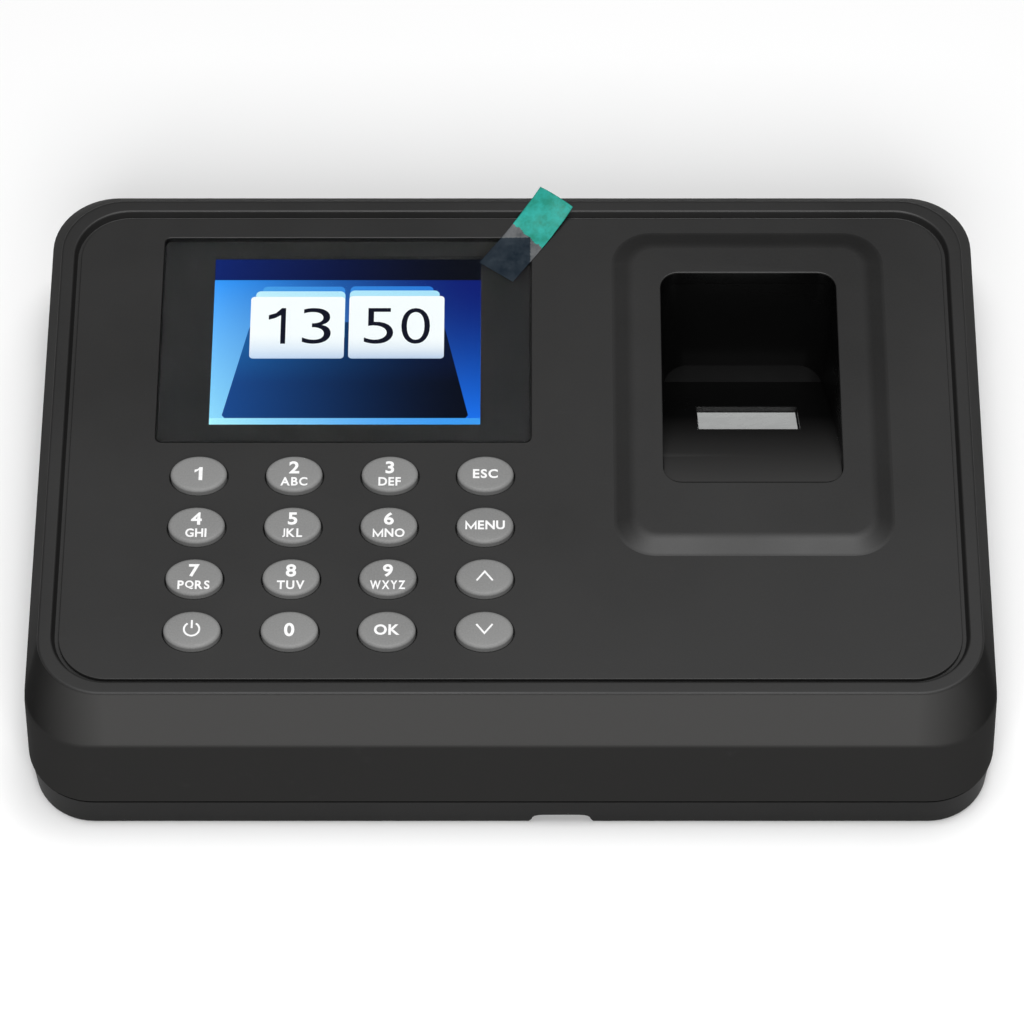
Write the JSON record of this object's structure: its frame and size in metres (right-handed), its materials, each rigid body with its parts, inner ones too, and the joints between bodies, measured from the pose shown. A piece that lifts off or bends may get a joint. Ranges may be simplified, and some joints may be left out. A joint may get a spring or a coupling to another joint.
{
  "type": "fingerprint scanner terminal",
  "caption": "Desk and wall fingerprint terminal: charcoal housing with a colour display, a keypad and a sunk finger guide that slopes down over an optical sensor.",
  "frame": {"origin": "centre of the rear cover's flat underside, on the surface the unit rests on", "axes": "+Z out of the face that the user works, +Y towards the end that points up on a wall, +X along the length, from the display and keypad side to the finger guide side"},
  "size_m": [0.1736, 0.121, 0.0425],
  "materials": {
    "housing_plastic": "fine matte texture, near-black charcoal",
    "window_acrylic": "smoked glossy window",
    "clear_film": "thin protective film",
    "tab_tape": "teal adhesive tab",
    "lcd_glass": "lit colour display",
    "white_plastic": "moulded white plastic",
    "flex_circuit": "amber polyimide",
    "mat_silicone": "grey silicone",
    "key_plastic": "satin mid grey",
    "guide_plastic": "satin black",
    "platen_glass": "frosted optical prism",
    "black_plastic": "black plastic",
    "board_laminate": "green solder mask",
    "cable_sleeve": "flat cable sleeve",
    "port_steel": "plated steel",
    "screw_steel": "zinc plated steel"
  },
  "bodies": {
    "housing": {"front_shell": "housing_plastic", "rear_cover": "housing_plastic", "display_window": "window_acrylic", "screen_film": "clear_film", "film_pull_tab": "tab_tape", "lcd_panel": "lcd_glass", "lcd_backlight": "white_plastic", "lcd_holder": "white_plastic", "coin_cell_holder": "white_plastic", "lcd_flex_cable": "flex_circuit", "keypad_mat": "mat_silicone", "finger_guide": "guide_plastic", "sensor_glass": "platen_glass", "sensor_housing": "black_plastic", "dc_jack": "black_plastic", "processor_chip": "black_plastic", "memory_chip": "black_plastic", "speaker": "black_plastic", "sensor_board": "board_laminate", "main_board": "board_laminate", "port_board": "board_laminate", "sensor_cable": "cable_sleeve", "port_cable": "cable_sleeve", "speaker_cable": "cable_sleeve", "usb_port": "port_steel", "coin_cell": "port_steel", "case_screw_front_left": "screw_steel", "case_screw_front_right": "screw_steel", "case_screw_back_left": "screw_steel", "case_screw_back_right": "screw_steel", "board_screw_front_left": "screw_steel", "board_screw_front_right": "screw_steel", "board_screw_back_left": "screw_steel", "board_screw_back_right": "screw_steel", "guide_screw_front": "screw_steel", "guide_screw_back": "screw_steel", "port_board_screw_left": "screw_steel", "port_board_screw_right": "screw_steel"},
    "key_1": {"key_1": "key_plastic"},
    "key_2": {"key_2": "key_plastic"},
    "key_3": {"key_3": "key_plastic"},
    "key_esc": {"key_esc": "key_plastic"},
    "key_4": {"key_4": "key_plastic"},
    "key_5": {"key_5": "key_plastic"},
    "key_6": {"key_6": "key_plastic"},
    "key_menu": {"key_menu": "key_plastic"},
    "key_7": {"key_7": "key_plastic"},
    "key_8": {"key_8": "key_plastic"},
    "key_9": {"key_9": "key_plastic"},
    "key_up": {"key_up": "key_plastic"},
    "key_power": {"key_power": "key_plastic"},
    "key_0": {"key_0": "key_plastic"},
    "key_ok": {"key_ok": "key_plastic"},
    "key_down": {"key_down": "key_plastic"}
  },
  "joints": [
    {"name": "key_1_press", "type": "slide", "parent": "housing", "child": "key_1", "axis": [0, 0, -1], "range_m": [0, 0.0012], "stiffness_N_per_m": 400},
    {"name": "key_2_press", "type": "slide", "parent": "housing", "child": "key_2", "axis": [0, 0, -1], "range_m": [0, 0.0012], "stiffness_N_per_m": 400},
    {"name": "key_3_press", "type": "slide", "parent": "housing", "child": "key_3", "axis": [0, 0, -1], "range_m": [0, 0.0012], "stiffness_N_per_m": 400},
    {"name": "key_esc_press", "type": "slide", "parent": "housing", "child": "key_esc", "axis": [0, 0, -1], "range_m": [0, 0.0012], "stiffness_N_per_m": 400},
    {"name": "key_4_press", "type": "slide", "parent": "housing", "child": "key_4", "axis": [0, 0, -1], "range_m": [0, 0.0012], "stiffness_N_per_m": 400},
    {"name": "key_5_press", "type": "slide", "parent": "housing", "child": "key_5", "axis": [0, 0, -1], "range_m": [0, 0.0012], "stiffness_N_per_m": 400},
    {"name": "key_6_press", "type": "slide", "parent": "housing", "child": "key_6", "axis": [0, 0, -1], "range_m": [0, 0.0012], "stiffness_N_per_m": 400},
    {"name": "key_menu_press", "type": "slide", "parent": "housing", "child": "key_menu", "axis": [0, 0, -1], "range_m": [0, 0.0012], "stiffness_N_per_m": 400},
    {"name": "key_7_press", "type": "slide", "parent": "housing", "child": "key_7", "axis": [0, 0, -1], "range_m": [0, 0.0012], "stiffness_N_per_m": 400},
    {"name": "key_8_press", "type": "slide", "parent": "housing", "child": "key_8", "axis": [0, 0, -1], "range_m": [0, 0.0012], "stiffness_N_per_m": 400},
    {"name": "key_9_press", "type": "slide", "parent": "housing", "child": "key_9", "axis": [0, 0, -1], "range_m": [0, 0.0012], "stiffness_N_per_m": 400},
    {"name": "key_up_press", "type": "slide", "parent": "housing", "child": "key_up", "axis": [0, 0, -1], "range_m": [0, 0.0012], "stiffness_N_per_m": 400},
    {"name": "key_power_press", "type": "slide", "parent": "housing", "child": "key_power", "axis": [0, 0, -1], "range_m": [0, 0.0012], "stiffness_N_per_m": 400},
    {"name": "key_0_press", "type": "slide", "parent": "housing", "child": "key_0", "axis": [0, 0, -1], "range_m": [0, 0.0012], "stiffness_N_per_m": 400},
    {"name": "key_ok_press", "type": "slide", "parent": "housing", "child": "key_ok", "axis": [0, 0, -1], "range_m": [0, 0.0012], "stiffness_N_per_m": 400},
    {"name": "key_down_press", "type": "slide", "parent": "housing", "child": "key_down", "axis": [0, 0, -1], "range_m": [0, 0.0012], "stiffness_N_per_m": 400}
  ]
}
